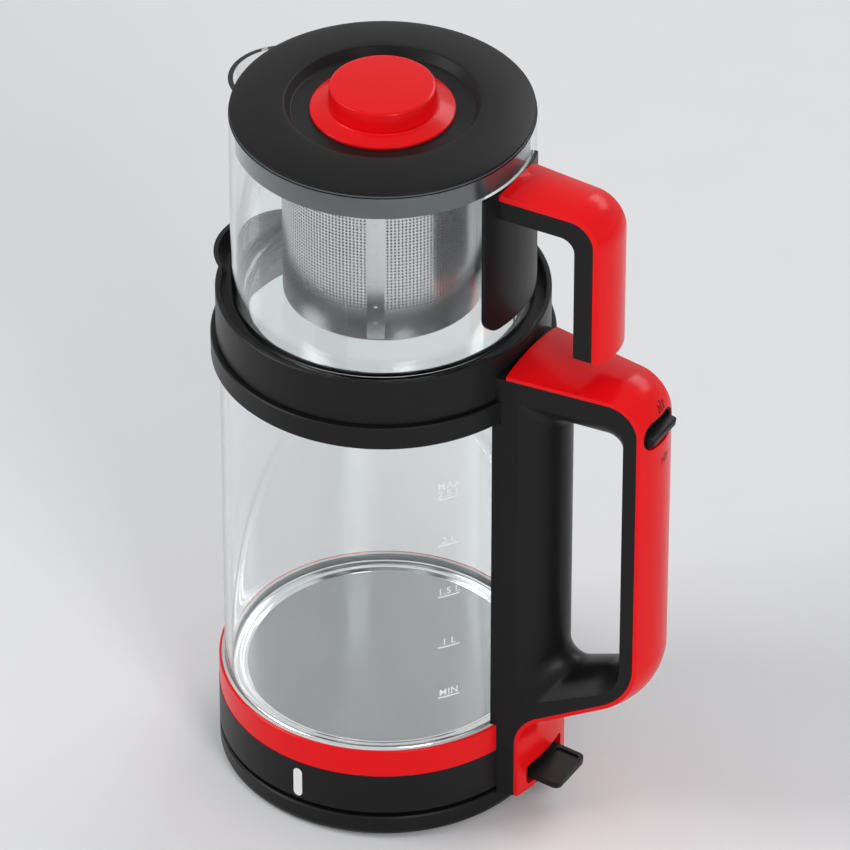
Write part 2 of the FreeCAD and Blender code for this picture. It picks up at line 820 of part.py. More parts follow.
def rocker_button():
    """Rocking barrel on the pin with a paddle that stands out of the slot."""
    half = rocker_slot_width / 2 - switch_gap
    reach = rocker_front_x + rocker_proud + handle_shell_crown - handle_shell_edge
    barrel_half = half - rocker_barrel_radius / 2
    start = Vector(rocker_pin_x, -barrel_half, rocker_pin_z)
    barrel = Part.makeCylinder(rocker_barrel_radius, 2 * barrel_half, start, Vector(0, 1, 0))
    low = rocker_pin_z - rocker_paddle_height / 2
    high = rocker_pin_z + rocker_paddle_height / 2
    paddle = box((rocker_pin_x, reach), (-half + 0.6, half - 0.6), (low, high))
    edges = [edge for edge in paddle.Edges if edge.BoundBox.XMin > reach - 0.01]
    paddle = paddle.makeFillet(1.2, edges)
    button = joined([barrel, paddle])
    bore = Part.makeCylinder(rocker_pin_radius + pin_fit, 4 * half, Vector(rocker_pin_x, -2 * half, rocker_pin_z),
                             Vector(0, 1, 0))
    button = button.cut(bore)
    button.rotate(Vector(rocker_pin_x, 0, rocker_pin_z), Vector(0, 1, 0), rocker_rest_tilt)
    return button


# Power lever
lever_barrel_radius = lever_pin_radius + lever_barrel_wall
lever_ear_y = lever_width / 2 + switch_gap


def power_lever():
    """Flat paddle with a raised rim round a dished finger rest, on a barrel at its hinge."""
    half = lever_width / 2
    low = lever_pivot_z - lever_thick / 2
    high = lever_pivot_z + lever_thick / 2
    tail_x = lever_pivot_x - lever_tail
    corners = [(tail_x, -half, 0), (lever_tip_x, -half, 3.5), (lever_tip_x, half, 3.5), (tail_x, half, 0)]
    blade = Part.Face(rounded_wire(corners, lambda x, y: Vector(x, y, low))).extrude(Vector(0, 0, lever_thick))
    rest_x = handle_nose_x + handle_shell_crown
    rest = [(rest_x, -half + lever_rim, 1.5), (lever_tip_x - lever_rim, -half + lever_rim, 1.5),
            (lever_tip_x - lever_rim, half - lever_rim, 1.5), (rest_x, half - lever_rim, 1.5)]
    dish = Part.Face(rounded_wire(rest, lambda x, y: Vector(x, y, high - lever_dish)))
    blade = blade.cut(dish.extrude(Vector(0, 0, lever_thick)))
    start = Vector(lever_pivot_x, -half, lever_pivot_z)
    barrel = Part.makeCylinder(lever_barrel_radius, lever_width, start, Vector(0, 1, 0))
    bore = Part.makeCylinder(lever_pin_radius + pin_fit, lever_width, start, Vector(0, 1, 0))
    lever = joined([blade, barrel]).cut(bore)
    lever.rotate(Vector(lever_pivot_x, 0, lever_pivot_z), Vector(0, 1, 0), lever_slope)
    return lever


def lever_bracket():
    """Two ears on the foot's cover that hold the lever's pin."""
    ears = []
    top = lever_pivot_z + lever_barrel_radius
    for side in (-1, 1):
        y = sorted((side * lever_ear_y, side * (lever_ear_y + lever_ear_thick)))
        ear = box((lever_pivot_x - lever_barrel_radius, lever_pivot_x + lever_barrel_radius), y, (cover_top_z, top))
        hole = Part.makeCylinder(lever_pin_radius, base_radius, Vector(lever_pivot_x, -base_radius / 2, lever_pivot_z),
                                 Vector(0, 1, 0))
        ears.append(ear.cut(hole))
    return Part.makeCompound(ears)


def lever_pin():
    half = lever_ear_y + lever_ear_thick
    start = Vector(lever_pivot_x, -half, lever_pivot_z)
    return Part.makeCylinder(lever_pin_radius, 2 * half, start, Vector(0, 1, 0))


def lever_switch():
    """Snap-action switch block behind the lever's tail, standing on the foot's cover."""
    front = lever_pivot_x - lever_tail - 2.0
    half = lever_switch_width / 2
    top = cover_top_z + lever_switch_height
    block = box((front - lever_switch_length, front), (-half, half), (cover_top_z, top))
    return block


# Teapot
def teapot_glass():
    outer = Part.makeCylinder(teapot_radius, teapot_height, Vector(0, 0, teapot_z))
    bottom = [edge for edge in outer.Edges if edge.BoundBox.ZMax < teapot_z + 0.01 and edge.BoundBox.XLength > 1]
    outer = outer.makeFillet(teapot_corner, bottom)
    inner_round = teapot_corner - teapot_wall
    inner = Part.makeCylinder(teapot_inner, teapot_height, Vector(0, 0, teapot_z + teapot_floor))
    bottom = [edge for edge in inner.Edges
              if edge.BoundBox.ZMax < teapot_z + teapot_floor + 0.01 and edge.BoundBox.XLength > 1]
    inner = inner.makeFillet(inner_round, bottom)
    low = teapot_rim_z - teapot_spout_height
    sizes = (teapot_radius, teapot_spout_reach, teapot_spout_half_angle, teapot_spout_shrink)
    lip = spout_cone(*sizes, low, teapot_rim_z, 0)
    channel = spout_cone(*sizes, low, teapot_rim_z, teapot_wall)
    keep = box((-2 * teapot_radius, -0.5 * teapot_radius), (-teapot_radius, teapot_radius), (low, teapot_rim_z))
    return joined([outer, lip.common(keep)]).cut(inner).cut(channel.common(keep))


def pot_plate():
    """Pad that joins the handle to the glass, wrapped on the glass and round at its lower corners."""
    reach = (teapot_radius + pot_plate_thick) * math.sin(math.radians(pot_plate_half_angle))
    low = teapot_z + pot_plate_low
    high = teapot_rim_z - pot_plate_drop
    corners = [(-reach, low, pot_plate_round), (reach, low, pot_plate_round), (reach, high, 0), (-reach, high, 0)]
    wire = rounded_wire(corners, lambda y, z: Vector(0.5 * teapot_radius, y, z))
    pad = Part.Face(wire).extrude(Vector(teapot_radius, 0, 0))
    return pad.common(tube(teapot_radius + pot_plate_thick, teapot_radius, low, high)).cut(pot_screw())


def pot_handle_width(x):
    return pot_root_half_width + pot_handle_taper * (teapot_radius - x)


def pot_handle_outline(grow):
    end_z = teapot_z + pot_handle_low
    inner_x = 0.8 * teapot_radius
    outer_x = pot_handle_reach + grow
    grip_x = pot_handle_reach - pot_grip_thick
    arm_z = pot_handle_z - pot_arm_thick
    return [(inner_x, pot_handle_z + grow, 0), (inner_x, arm_z, 0), (grip_x, arm_z, pot_inner_round),
            (grip_x, end_z, 0), (outer_x, end_z, 0), (outer_x, pot_handle_z + grow, pot_outer_round + grow)]


def pot_handle_core():
    core = flanked_solid(pot_handle_outline(0), pot_handle_width)
    core = core.cut(cylinder(teapot_radius + pot_plate_thick, 0, 2 * teapot_rim_z))
    return core.cut(pot_screw())


def pot_handle_shell():
    cover = crowned_solid(pot_handle_outline(pot_shell_edge), pot_handle_outline(pot_shell_crown), pot_handle_width)
    inner_x = 0.5 * teapot_radius
    low_z = teapot_z
    within = [(inner_x, low_z, 0), (pot_handle_reach, low_z, 0), (pot_handle_reach, pot_handle_z, pot_outer_round),
              (inner_x, pot_handle_z, 0)]
    cover = cover.cut(flanked_solid(within, lambda x: pot_handle_width(x) + 5))
    return cover.cut(cylinder(teapot_radius + pot_plate_thick, 0, 2 * teapot_rim_z))


def pot_screw():
    """Threaded stud that draws the handle against its plate, lying along X in the arm."""
    start = Vector(0.9 * teapot_radius, 0, pot_handle_z - pot_arm_thick / 2)
    length = 0.1 * teapot_radius + pot_plate_thick + pot_screw_length
    stud = Part.makeCylinder(pot_screw_radius, length, start, Vector(1, 0, 0))
    return stud.cut(cylinder(teapot_radius, 0, 2 * teapot_rim_z))


# Infuser basket and its carrier ring
basket_low_z = teapot_z + basket_floor_z
basket_side_z = basket_low_z + basket_floor_thick


def basket_side():
    return tube(basket_radius, basket_radius - basket_wall, basket_side_z, carrier_z)


def basket_floor():
    return revolve([
        (0, basket_low_z), (basket_radius - basket_floor_thick / 2, basket_low_z), (basket_radius, basket_side_z - 0.6),
        (basket_radius, basket_side_z), (basket_radius - 2 * basket_wall, basket_side_z),
        (basket_radius - 2 * basket_wall, basket_low_z + basket_wall), (0, basket_low_z + basket_wall)])


def basket_seam():
    """Overlap strip, spot welded inside the basket's wall."""
    outer = basket_radius - basket_wall
    strip = tube(outer, outer - basket_wall, basket_side_z, carrier_z)
    half = basket_seam_width / 2
    seam = strip.common(box((-half, half), (-basket_radius, 0), (0, 2 * teapot_rim_z)))
    seam.rotate(Vector(0, 0, 0), Vector(0, 0, 1), 27)
    return seam


def carrier_ring():
    """Moulded ring that hangs the basket from the teapot's rim."""
    lip_radius = teapot_radius - lid_overhang
    inner = carrier_radius - carrier_wall
    floor_top = carrier_z + carrier_flange_thick
    return revolve([
        (basket_radius - basket_wall, carrier_z), (carrier_radius, carrier_z), (carrier_radius, carrier_lip_z),
        (lip_radius, carrier_lip_z), (lip_radius, carrier_top_z), (inner, carrier_top_z), (inner, floor_top),
        (basket_radius - basket_wall, floor_top)])


# Lid and knob
lid_radius = teapot_radius - lid_overhang
lid_recess_radius = lid_radius - lid_rim_width
lid_edge_top = lid_z + lid_edge_thick
lid_crest_z = lid_edge_top + lid_dome
lid_crest_radius = lid_recess_radius + lid_recess_slope
recess_z = lid_crest_z - lid_recess_depth
lid_skirt_radius = carrier_radius - carrier_wall - switch_gap


def lid_disc():
    """Shallow dome with a sunk middle for the knob."""
    under = recess_z - lid_skin
    corners = [
        Vector(knob_screw_radius, 0, under), Vector(lid_crest_radius, 0, under),
        Vector(lid_crest_radius + lid_skin, 0, lid_z), Vector(lid_radius, 0, lid_z),
        Vector(lid_radius, 0, lid_edge_top), Vector(lid_crest_radius, 0, lid_crest_z),
        Vector(lid_recess_radius, 0, recess_z), Vector(knob_screw_radius, 0, recess_z)]
    edges = [Part.makeLine(a, b) for a, b in zip(corners, corners[1:] + corners[:1])]
    middle_r = (lid_radius + lid_crest_radius) / 2
    bulge = Vector(middle_r, 0, (lid_edge_top + lid_crest_z) / 2 + 0.35 * lid_dome)
    edges[4] = Part.Arc(corners[4], bulge, corners[5]).toShape()
    return Part.Face(Part.Wire(edges)).revolve(Vector(0, 0, 0), Vector(0, 0, 1), 360)


def lid_skirt():
    return tube(lid_skirt_radius, lid_skirt_radius - lid_skirt_wall, lid_z - lid_skirt_depth, lid_z)


def knob_base():
    top = recess_z + knob_flange_rise
    return revolve([
        (knob_screw_radius, recess_z), (knob_flange_radius, recess_z),
        (knob_flange_radius, recess_z + knob_flange_edge), (knob_radius, top), (knob_screw_radius, top)])


def knob_cap():
    low = recess_z + knob_flange_rise
    top = low + knob_height
    bore_top = top - 3.0
    return revolve([
        (knob_screw_radius, low), (knob_radius, low), (knob_waist_radius, low + 0.35 * knob_height),
        (knob_waist_radius, top - knob_edge), (knob_waist_radius - knob_edge, top), (0, top), (0, bore_top),
        (knob_screw_radius, bore_top)])


def knob_screw():
    under = recess_z - lid_skin
    head = cylinder(2 * knob_screw_radius, under - knob_screw_radius, under)
    shaft = cylinder(knob_screw_radius, under, recess_z + knob_flange_rise + knob_height - 3.0)
    return joined([head, shaft])


NODES = {
    "base_shell": base_shell,
    "base_plate": base_plate,
    "base_feet": base_feet,
    "base_screws": base_screws,
    "base_connector": base_connector,
    "base_contacts": base_contacts,
    "cord_bush": cord_bush,
    "coupler_socket": coupler_socket,
    "coupler_contacts": coupler_contacts,
    "foot_housing": foot_housing,
    "foot_cover": foot_cover,
    "cover_screws": cover_screws,
    "indicator_lens": indicator_lens,
    "indicator_board": indicator_board,
    "trim_ring": trim_ring,
    "plate_seal": plate_seal,
    "heater_plate": heater_plate,
    "heat_spreader": heat_spreader,
    "heating_element": heating_element,
    "thermostat": thermostat,
    "kettle_glass": glass_body,
    "collar_skirt": collar_skirt,
    "collar_ring": collar_ring,
    "collar_seal": collar_seal,
    "teapot_seat": teapot_seat,
    "handle_core": handle_core,
    "handle_shell": handle_shell,
    "housing_screws": housing_screws,
    "rocker_housing": rocker_housing,
    "rocker_pin": rocker_pin,
    "rocker_contacts": rocker_contacts,
    "rocker_button": rocker_button,
    "power_lever": power_lever,
    "lever_bracket": lever_bracket,
    "lever_pin": lever_pin,
    "lever_switch": lever_switch,
    "teapot_glass": teapot_glass,
    "teapot_plate": pot_plate,
    "teapot_handle_core": pot_handle_core,
    "teapot_handle_shell": pot_handle_shell,
    "teapot_screw": pot_screw,
    "basket_side": basket_side,
    "basket_floor": basket_floor,
    "basket_seam": basket_seam,
    "carrier_ring": carrier_ring,
    "lid_disc": lid_disc,
    "lid_skirt": lid_skirt,
    "knob_base": knob_base,
    "knob_cap": knob_cap,
    "knob_screw": knob_screw,
}

os.makedirs("parts", exist_ok=True)
for node, make in NODES.items():
    shape = make()
    shape.exportStep(os.path.join("parts", node + ".step"))
    box_mm = shape.BoundBox
    print(node, "solids", len(shape.Solids), "valid", shape.isValid(), "volume", round(shape.Volume, 1),
          "z", round(box_mm.ZMin, 1), round(box_mm.ZMax, 1), "x", round(box_mm.XMin, 1), round(box_mm.XMax, 1))
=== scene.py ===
import bmesh
import bpy
import math
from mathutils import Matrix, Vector


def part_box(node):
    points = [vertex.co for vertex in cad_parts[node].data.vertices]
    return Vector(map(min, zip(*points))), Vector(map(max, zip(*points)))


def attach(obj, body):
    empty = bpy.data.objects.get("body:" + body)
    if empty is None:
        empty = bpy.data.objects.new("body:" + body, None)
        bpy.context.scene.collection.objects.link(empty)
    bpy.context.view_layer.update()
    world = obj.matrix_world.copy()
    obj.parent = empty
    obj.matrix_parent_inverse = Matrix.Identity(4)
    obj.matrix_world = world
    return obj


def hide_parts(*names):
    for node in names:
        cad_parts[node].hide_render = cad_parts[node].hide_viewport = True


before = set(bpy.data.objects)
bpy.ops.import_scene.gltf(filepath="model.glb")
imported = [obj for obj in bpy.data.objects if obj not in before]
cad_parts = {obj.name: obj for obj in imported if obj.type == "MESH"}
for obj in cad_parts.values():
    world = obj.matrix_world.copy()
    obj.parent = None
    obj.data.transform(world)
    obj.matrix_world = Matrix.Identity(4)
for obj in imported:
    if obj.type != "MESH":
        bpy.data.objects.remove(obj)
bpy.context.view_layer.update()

# Power base: a low round moulding with a connector in the middle, closed from below by a plate on
# rubber pads. Black ABS with a fine satin grain, screwed together from underneath.


def finish_of(name, colour, roughness, metallic=0.0, specular=0.5):
    """Material with one shader, and its node tree for the detail that follows."""
    material = bpy.data.materials.new(name)
    material.use_nodes = True
    shader = material.node_tree.nodes["Principled BSDF"]
    shader.inputs["Base Color"].default_value = (*colour, 1.0)
    shader.inputs["Roughness"].default_value = roughness
    shader.inputs["Metallic"].default_value = metallic
    shader.inputs["Specular IOR Level"].default_value = specular
    return material, material.node_tree, shader


def noise_of(tree, where, scale, detail=2.0):
    """Noise over those coordinates, with about that many cells to the metre."""
    noise = tree.nodes.new("ShaderNodeTexNoise")
    noise.inputs["Scale"].default_value = scale
    noise.inputs["Detail"].default_value = detail
    tree.links.new(where, noise.inputs["Vector"])
    return noise


def relief(tree, shader, noise, strength, depth):
    """Bumps that follow a noise, of that depth in metres."""
    bump = tree.nodes.new("ShaderNodeBump")
    bump.inputs["Strength"].default_value = strength
    bump.inputs["Distance"].default_value = depth
    tree.links.new(noise.outputs["Fac"], bump.inputs["Height"])
    tree.links.new(bump.outputs["Normal"], shader.inputs["Normal"])


def vary_gloss(tree, shader, noise, gloss):
    """Roughness that follows a noise from the lower value to the higher one."""
    spread = tree.nodes.new("ShaderNodeMapRange")
    spread.inputs["To Min"].default_value = gloss[0]
    spread.inputs["To Max"].default_value = gloss[1]
    tree.links.new(noise.outputs["Fac"], spread.inputs["Value"])
    tree.links.new(spread.outputs["Result"], shader.inputs["Roughness"])


def grain(tree, shader, size, depth, gloss, stretch=(1, 1, 1)):
    """Surface grain of about that size and depth in metres, with a slow drift of the gloss."""
    place = tree.nodes.new("ShaderNodeTexCoord")
    turn = tree.nodes.new("ShaderNodeMapping")
    turn.inputs["Scale"].default_value = stretch
    tree.links.new(place.outputs["Object"], turn.inputs["Vector"])
    relief(tree, shader, noise_of(tree, turn.outputs["Vector"], 1.0 / size, 3.0), 0.6, depth)
    slow = noise_of(tree, turn.outputs["Vector"], 26.0, 4.0)
    vary_gloss(tree, shader, slow, gloss)
    return slow


def drift(tree, shader, guide, colours):
    """Colour that follows a noise or a mask from the first colour to the second."""
    mix = tree.nodes.new("ShaderNodeMix")
    mix.data_type = "RGBA"
    mix.inputs["A"].default_value = (*colours[0], 1.0)
    mix.inputs["B"].default_value = (*colours[1], 1.0)
    tree.links.new(guide.outputs[0], mix.inputs["Factor"])
    tree.links.new(mix.outputs["Result"], shader.inputs["Base Color"])


def grained(name, colours, gloss, size, depth, metallic=0.0, specular=0.5, stretch=(1, 1, 1)):
    """Grained finish whose colour and gloss change slightly over the piece."""
    material, tree, shader = finish_of(name, colours[0], gloss[0], metallic, specular)
    drift(tree, shader, grain(tree, shader, size, depth, gloss, stretch), colours)
    return material


def dress(material, *names):
    """Puts a finish on the pieces of the frame."""
    for name in names:
        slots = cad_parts[name].data.materials
        slots.clear()
        slots.append(material)


black_satin = grained("black_satin", ((0.006, 0.006, 0.0065), (0.010, 0.010, 0.0105)), (0.30, 0.42),
                      0.00035, 0.00003, specular=0.16)
dress(black_satin, "base_shell", "base_plate", "base_connector")

rubber = grained("rubber", ((0.016, 0.016, 0.017), (0.028, 0.028, 0.029)), (0.68, 0.85), 0.0006, 0.00006)
dress(rubber, "base_feet", "cord_bush")

screw_steel = grained("screw_steel", ((0.5, 0.5, 0.51), (0.62, 0.62, 0.63)), (0.26, 0.45),
                      0.0009, 0.00002, metallic=1.0)
dress(screw_steel, "base_screws")

contact_brass = grained("contact_brass", ((0.66, 0.47, 0.2), (0.78, 0.58, 0.3)), (0.22, 0.4),
                        0.0008, 0.00002, metallic=1.0)
dress(contact_brass, "base_contacts")

# Coupler: the socket under the kettle that drops over the base's connector, turned from the same
# black plastic, with brass sleeves inside that meet the pin and ring.

dress(black_satin, "coupler_socket")
dress(contact_brass, "coupler_contacts")

# Kettle foot: the black housing that holds the heater, its screwed cover, and the white window of
# the indicator lamp in its front.

dress(black_satin, "foot_housing", "foot_cover")
dress(screw_steel, "cover_screws", "housing_screws")

window_white = grained("window_white", ((0.76, 0.76, 0.75), (0.86, 0.86, 0.85)), (0.24, 0.34),
                       0.001, 0.00001)
shader = window_white.node_tree.nodes["Principled BSDF"]
shader.inputs["Subsurface Weight"].default_value = 0.2
shader.inputs["Subsurface Radius"].default_value = (0.002, 0.002, 0.002)
dress(window_white, "indicator_lens")

board_green = grained("board_green", ((0.015, 0.1, 0.04), (0.03, 0.16, 0.07)), (0.38, 0.55),
                      0.0012, 0.00003)
dress(board_green, "indicator_board")

# Trim ring: glossy red band between the foot and the glass, moulded in one with the seat of the
# seal. Its bore is bonded to the glass with pale grey sealant, and the black seal stands in it.

red_gloss = grained("red_gloss", ((0.77, 0.003, 0.005), (0.83, 0.005, 0.008)), (0.20, 0.28),
                    0.0035, 0.00001, specular=0.12)
shader = red_gloss.node_tree.nodes["Principled BSDF"]
shader.inputs["Coat Weight"].default_value = 0.08
shader.inputs["Coat Roughness"].default_value = 0.06


def from_axis(tree, place):
    """Distance of each point from the Z axis."""
    level = tree.nodes.new("ShaderNodeVectorMath")
    level.operation = "MULTIPLY"
    level.inputs[1].default_value = (1, 1, 0)
    tree.links.new(place.outputs["Object"], level.inputs[0])
    reach = tree.nodes.new("ShaderNodeVectorMath")
    reach.operation = "LENGTH"
    tree.links.new(level.outputs["Vector"], reach.inputs[0])
    return reach.outputs["Value"]


sealed_radius = 0.0776
sealant_grey = (0.68, 0.69, 0.695)
band_red = (0.80, 0.004, 0.006)
trim_red, tree, shader = finish_of("trim_red", band_red, 0.24, specular=0.16)
grain(tree, shader, 0.0035, 0.00001, (0.20, 0.28))
outside = tree.nodes.new("ShaderNodeMath")
outside.operation = "GREATER_THAN"
outside.inputs[1].default_value = sealed_radius
tree.links.new(from_axis(tree, tree.nodes.new("ShaderNodeTexCoord")), outside.inputs[0])
drift(tree, shader, outside, (sealant_grey, band_red))
dress(trim_red, "trim_ring")
dress(rubber, "plate_seal")

# Heater plate: pressed stainless steel with a double rolled bead at the glass and a satin finish
# that runs round the axis, with the aluminium spreader, tube element and thermostat under it. The
# bead's steel is painted much lighter than the dish's steel, as a painted highlight along the bead.


def turned(name, profile, body, steps=192, closed=True):
    """Turned piece: a circle is extruded and scaled from corner to corner of its profile. A profile
    that starts and ends on the axis makes a full piece with a pole at each end."""
    merge_gap = 0.000002
    solid = profile[0][0] == 0
    axis_height = profile[0][1]
    profile = profile[1:] if solid else profile
    radius, height = profile[0]
    bpy.ops.object.select_all(action="DESELECT")
    bpy.ops.mesh.primitive_circle_add(vertices=steps, radius=radius, location=(0, 0, height))
    piece = bpy.context.object
    piece.name = name
    bpy.ops.object.transform_apply(location=True, rotation=True, scale=True)
    bpy.ops.object.mode_set(mode="EDIT")
    bpy.ops.mesh.select_all(action="SELECT")
    corners = profile[1:] + (profile[:1] if closed and not solid else [])
    for next_radius, next_height in corners:
        bpy.ops.mesh.extrude_edges_move(TRANSFORM_OT_translate={"value": (0, 0, next_height - height)})
        grow = next_radius / radius
        bpy.ops.transform.resize(value=(grow, grow, 1), center_override=(0, 0, next_height))
        radius, height = next_radius, next_height
    bpy.ops.mesh.select_all(action="SELECT")
    bpy.ops.mesh.remove_doubles(threshold=merge_gap)
    if solid:
        pole_rise = axis_height - profile[0][1]
        bpy.ops.mesh.select_all(action="DESELECT")
        bpy.ops.mesh.select_mode(type="EDGE")
        bpy.ops.mesh.select_non_manifold()
        bpy.ops.mesh.extrude_edges_move(TRANSFORM_OT_translate={"value": (0, 0, pole_rise)})
        bpy.ops.transform.resize(value=(0, 0, 1), center_override=(0, 0, axis_height))
        bpy.ops.mesh.select_all(action="SELECT")
        bpy.ops.mesh.remove_doubles(threshold=merge_gap)
    bpy.ops.mesh.select_all(action="SELECT")
    bpy.ops.mesh.normals_make_consistent(inside=False)
    bpy.ops.object.mode_set(mode="OBJECT")
    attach(piece, body)
    return piece


def settle(piece, material, edge=0.0, segments=3):
    """Rounds the piece's sharp edges, smooths its shading and gives it its finish."""
    bpy.ops.object.select_all(action="DESELECT")
    piece.select_set(True)
    bpy.context.view_layer.objects.active = piece
    if edge:
        rounding = piece.modifiers.new("rounding", "BEVEL")
        rounding.width = edge
        rounding.segments = segments
        rounding.limit_method = "ANGLE"
        rounding.angle_limit = math.radians(28)
        bpy.ops.object.modifier_apply(modifier="rounding")
    bpy.ops.object.shade_smooth_by_angle(angle=math.radians(40))
    piece.data.materials.clear()
    piece.data.materials.append(material)


def ring_brushed(name, colours, gloss, depth):
    """Metal brushed round the Z axis, in strokes that change with the distance from it."""
    material, tree, shader = finish_of(name, colours[0], gloss[0], metallic=1.0)
    place = tree.nodes.new("ShaderNodeTexCoord")
    split = tree.nodes.new("ShaderNodeSeparateXYZ")
    tree.links.new(place.outputs["Object"], split.inputs["Vector"])
    across = tree.nodes.new("ShaderNodeCombineXYZ")
    tree.links.new(from_axis(tree, place), across.inputs["X"])
    tree.links.new(split.outputs["Z"], across.inputs["Y"])
    strokes = noise_of(tree, across.outputs["Vector"], 2600.0)
    relief(tree, shader, strokes, 0.5, depth)
    vary_gloss(tree, shader, strokes, gloss)
    drift(tree, shader, noise_of(tree, place.outputs["Object"], 14.0), colours)
    return material


plate_steel = ring_brushed("plate_steel", ((0.36, 0.37, 0.375), (0.45, 0.46, 0.465)), (0.30, 0.42), 0.000010)
# Same steel as the dish, painted lighter: a painted highlight on the rolled bead, which is also smoother.
bead_painted_highlight_steel = ring_brushed("bead_painted_highlight_steel", ((0.78, 0.79, 0.80), (0.88, 0.89, 0.90)), (0.10, 0.18), 0.000003)
plate_low, plate_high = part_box("heater_plate")
plate_radius = plate_high.x
plate_drop = 0.0022
plate_sheet = 0.0012
bead_width = 0.0076
plate_top = plate_high.z - plate_drop
bead_inner = plate_radius - bead_width
heater_dish = turned("heater_dish", [
    (0, plate_top - plate_sheet), (bead_inner, plate_top - plate_sheet), (bead_inner, plate_top),
    (0, plate_top)], "kettle")
settle(heater_dish, plate_steel)


def bead_points(*corners):
    """Corners of the bead, given by their inset from its rim and their drop from its crest."""
    return [(plate_radius - inset, plate_high.z - drop) for inset, drop in corners]


bead_under = bead_points((0.0050, 0.0024), (0.0030, 0.0018), (plate_sheet, plate_drop))
bead_over = bead_points(
    (0, 0.0010), (0.0007, 0.0003), (0.0018, 0), (0.0030, 0.0004), (0.0037, 0.0011), (0.0044, 0.0012),
    (0.0052, 0.0009), (0.0061, 0.0011), (0.0069, 0.0018))
heater_bead = turned("heater_bead", [(bead_inner, plate_top - plate_sheet)] + bead_under + [
    (plate_radius - plate_sheet, plate_low.z), (plate_radius, plate_low.z)] + bead_over + [
    (bead_inner, plate_top)], "kettle")
settle(heater_bead, bead_painted_highlight_steel, 0.0002, 2)
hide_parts("heater_plate")

spreader_metal = grained("spreader_metal", ((0.55, 0.55, 0.56), (0.66, 0.66, 0.67)), (0.34, 0.5),
                         0.0014, 0.00004, metallic=1.0)
dress(spreader_metal, "heat_spreader", "heating_element", "thermostat")

# Kettle glass: a clear borosilicate cylinder held between the seals of the foot and the collar, with
# level marks, numbers and words printed on it in white.

clear_glass, tree, shader = finish_of("clear_glass", (0.965, 0.985, 0.98), 0.0)
shader.inputs["Transmission Weight"].default_value = 1.0
shader.inputs["IOR"].default_value = 1.47
place = tree.nodes.new("ShaderNodeTexCoord")
relief(tree, shader, noise_of(tree, place.outputs["Object"], 30.0), 0.12, 0.0001)
dress(clear_glass, "kettle_glass")

print_grain = (0.42, 0.58), 0.0005, 0.000005
print_white = grained("print_white", ((0.8, 0.8, 0.8), (0.9, 0.9, 0.9)), *print_grain)

glass_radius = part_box("kettle_glass")[1].x
mark_start = math.radians(-39.7)
mark_width = 0.0109
mark_thick = 0.0008
print_lift = 0.00003
letter_size = 0.0052
letter_weight = 0.010
letter_spacing = 1.08
word_gap = 0.0012
line_step = 0.9 * letter_size
level_marks = [("min", ["MIN"], 0.0790), ("one", ["1 L"], 0.1087), ("one_half", ["1.5 L"], 0.1384),
               ("two", ["2 L"], 0.1681), ("most", ["2.5 L", "MAX"], 0.1948)]


def round_axis(reach, turn, height):
    """Point at that distance from the Z axis, at that angle and height."""
    return (reach * math.cos(turn), reach * math.sin(turn), height)


def flat_grid(name, columns, rows):
    """Flat square of a metre, in that many columns and rows, to be shaped and laid in place."""
    bpy.ops.object.select_all(action="DESELECT")
    bpy.ops.mesh.primitive_grid_add(x_subdivisions=columns, y_subdivisions=rows, size=1)
    piece = bpy.context.object
    piece.name = name
    return piece


def printed(piece, low):
    """Lays a flat print from the XY plane onto the glass, with its middle in the row of marks."""
    for vertex in piece.data.vertices:
        turn = mark_start + (mark_width / 2 + vertex.co.x) / glass_radius
        vertex.co = round_axis(glass_radius + print_lift, turn, low + vertex.co.y)
    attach(piece, "kettle")
    settle(piece, print_white)


for mark, lines, height in level_marks:
    tick = flat_grid("level_tick_" + mark, 14, 1)
    tick.scale = (mark_width, mark_thick, 1)
    bpy.ops.object.transform_apply(location=True, rotation=True, scale=True)
    printed(tick, height)
    for count, words in enumerate(lines):
        bpy.ops.object.select_all(action="DESELECT")
        bpy.ops.object.text_add()
        label = bpy.context.object
        label.name = "level_words_" + mark + "_" + str(count)
        label.data.body = words
        label.data.offset = letter_weight
        label.data.space_character = letter_spacing
        label.data.align_x = "CENTER"
        bpy.ops.object.convert(target="MESH")
        label = bpy.context.object
        label.scale = (letter_size, letter_size, 1)
        bpy.ops.object.transform_apply(location=True, rotation=True, scale=True)
        printed(label, height + word_gap + count * line_step)

# Collar: black ring and skirt clamped on the glass with a seal, with the pouring lip moulded in the
# ring, and the shelf on which the teapot stands.

dress(black_satin, "collar_skirt", "collar_ring", "teapot_seat")
dress(rubber, "collar_seal")

# Kettle handle: a black core that runs from the foot to the collar, scooped round the finger
# opening, with a glossy red shell clipped on its outside.

dress(black_satin, "handle_core")
dress(red_gloss, "handle_shell")

# Function rocker: a black paddle in a black well across the top of the grip, turning on a steel pin,
# with a small dark sign of three steam strokes printed above it and another below.

dress(black_satin, "rocker_housing", "rocker_contacts", "rocker_button")
dress(screw_steel, "rocker_pin")

print_black = grained("print_black", ((0.007, 0.005, 0.005), (0.011, 0.009, 0.009)), *print_grain,
                      specular=0.08)

